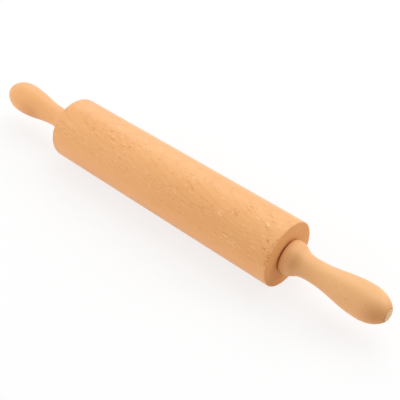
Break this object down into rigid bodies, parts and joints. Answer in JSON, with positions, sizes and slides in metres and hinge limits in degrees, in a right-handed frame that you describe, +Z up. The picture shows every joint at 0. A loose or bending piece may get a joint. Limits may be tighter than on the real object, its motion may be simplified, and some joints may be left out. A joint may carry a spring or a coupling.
{
  "type": "rolling pin",
  "caption": "Turned beech rolling pin: a round-edged cylindrical barrel spins on a through axle between fixed waisted handles with bulb ends, for rolling out dough.",
  "frame": {"origin": "middle of the barrel, on the axle's centre line", "axes": "+X along the axle towards the right handle, +Z up, the barrel lies on its lowest line at -Z"},
  "size_m": [0.4496, 0.06, 0.06],
  "materials": {
    "beech": "sanded and lightly oiled, fine short flecks along the grain",
    "plug_wood": "sanded end grain, paler than the handle",
    "phenolic": "machined phenolic laminate, dark brown",
    "steel": "drawn rod and zinc-plated fasteners"
  },
  "bodies": {
    "handle_set": {"axle": "steel", "right_thrust_washer": "phenolic", "left_thrust_washer": "phenolic", "right_handle": "beech", "left_handle": "beech", "right_clamp_washer": "steel", "left_clamp_washer": "steel", "right_axle_nut": "steel", "left_axle_nut": "steel", "right_end_plug": "plug_wood", "left_end_plug": "plug_wood"},
    "roller": {"barrel": "beech", "right_bearing_bush": "phenolic", "left_bearing_bush": "phenolic"}
  },
  "joints": [
    {"name": "barrel_spin", "type": "hinge", "parent": "handle_set", "child": "roller", "pos_m": [0, 0, 0], "axis": [1, 0, 0], "continuous": true}
  ]
}
